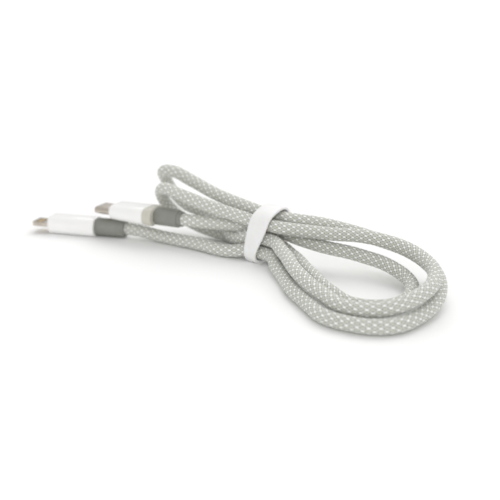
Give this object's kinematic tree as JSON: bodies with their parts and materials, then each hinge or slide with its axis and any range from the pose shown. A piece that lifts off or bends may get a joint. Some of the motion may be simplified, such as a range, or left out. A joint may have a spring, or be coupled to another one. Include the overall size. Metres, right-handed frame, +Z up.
{
  "type": "charging cable",
  "caption": "Braided charging cable coiled in loops under a silicone strap, with a blade plug on one end and a USB-C plug on the other.",
  "frame": {"origin": "on the resting plane, under the middle of the strap", "axes": "+X along the coil away from the plugs, +Y towards the back, +Z up"},
  "size_m": [0.1625, 0.0552, 0.0265],
  "materials": {
    "braid": "woven",
    "jacket": "matte",
    "shield_foil": "foil",
    "aramid": "fibrous",
    "copper": "bright",
    "red_insulation": "matte",
    "black_insulation": "matte",
    "white_insulation": "matte",
    "green_insulation": "matte",
    "blue_insulation": "matte",
    "silicone": "smooth",
    "stud_steel": "satin",
    "sleeve_grey": "matte",
    "housing_white": "gloss",
    "collar_beige": "satin",
    "tip_metal": "satin",
    "gold": "plated",
    "insulator_black": "matte",
    "can_steel": "satin",
    "board_green": "solder mask",
    "chip_black": "matte",
    "inner_mould": "moulded"
  },
  "bodies": {
    "coil": {"cord_braid": "braid", "cord_jacket": "jacket", "cord_shield": "shield_foil", "cord_aramid_core": "aramid", "supply_wire_copper": "copper", "supply_wire_insulation": "red_insulation", "return_wire_copper": "copper", "return_wire_insulation": "black_insulation", "data_plus_wire_copper": "copper", "data_plus_wire_insulation": "green_insulation", "data_minus_wire_copper": "copper", "data_minus_wire_insulation": "white_insulation", "sensing_wire_copper": "copper", "sensing_wire_insulation": "blue_insulation", "strap_band": "silicone", "strap_stud": "stud_steel"},
    "strap_end": {"strap_tip": "silicone"},
    "blade_link": {"blade_swing_braid": "braid", "blade_swing_core": "jacket"},
    "blade_plug": {"blade_end_braid": "braid", "blade_end_core": "jacket", "blade_sleeve": "sleeve_grey", "blade_housing": "housing_white", "blade_frame": "tip_metal", "blade_contacts": "gold", "blade_insulator": "insulator_black", "blade_shield_can": "can_steel", "blade_circuit_board": "board_green", "blade_control_chip": "chip_black", "blade_leads": "copper", "blade_crimp": "can_steel", "blade_inner_mould": "inner_mould"},
    "usb_link": {"usb_swing_braid": "braid", "usb_swing_core": "jacket"},
    "usb_plug": {"usb_end_braid": "braid", "usb_end_core": "jacket", "usb_sleeve": "sleeve_grey", "usb_collar": "collar_beige", "usb_housing": "housing_white", "usb_shell": "tip_metal", "usb_contact_carrier": "insulator_black", "usb_contacts": "gold", "usb_ground_springs": "can_steel", "usb_shield_can": "can_steel", "usb_circuit_board": "board_green", "usb_control_chip": "chip_black", "usb_leads": "copper", "usb_crimp": "can_steel", "usb_inner_mould": "inner_mould"},
    "latch_left": {"usb_latch_left": "can_steel"},
    "latch_right": {"usb_latch_right": "can_steel"}
  },
  "joints": [
    {"name": "strap_tip_peel", "type": "hinge", "parent": "coil", "child": "strap_end", "pos_m": [0.00044, 0.00625, 0.00991], "axis": [-0.9976, 0.0698, 0], "range_deg": [0, 40]},
    {"name": "blade_swing", "type": "hinge", "parent": "coil", "child": "blade_link", "pos_m": [-0.0445, -0.0093, 0.00263], "axis": [0, 0, 1], "range_deg": [-8, 35], "deforming": ["blade_swing_braid", "blade_swing_core"]},
    {"name": "blade_twist", "type": "hinge", "parent": "blade_link", "child": "blade_plug", "pos_m": [-0.057, -0.0124, 0.00345], "axis": [-0.9205, -0.3907, 0], "range_deg": [-25, 25], "deforming": ["blade_end_braid", "blade_end_core"]},
    {"name": "usb_swing", "type": "hinge", "parent": "coil", "child": "usb_link", "pos_m": [-0.01625, -0.0023, 0.00975], "axis": [0, 0, 1], "range_deg": [-2, 35], "deforming": ["usb_swing_braid", "usb_swing_core"]},
    {"name": "usb_lift", "type": "hinge", "parent": "usb_link", "child": "usb_plug", "pos_m": [-0.0261, -0.00615, 0.00995], "axis": [-0.1908, 0.9816, 0], "range_deg": [0, 4], "deforming": ["usb_end_braid", "usb_end_core"]},
    {"name": "usb_latch_left_bend", "type": "hinge", "parent": "usb_plug", "child": "latch_left", "pos_m": [-0.05823, -0.01655, 0.0103], "axis": [0, 0, 1], "range_deg": [0, 2]},
    {"name": "usb_latch_right_bend", "type": "hinge", "parent": "usb_plug", "child": "latch_right", "pos_m": [-0.05957, -0.00963, 0.0103], "axis": [0, 0, 1], "range_deg": [-2, 0]}
  ],
  "couplings": [
    {"joint": "usb_latch_right_bend", "follows": "usb_latch_left_bend", "ratio": -1}
  ]
}
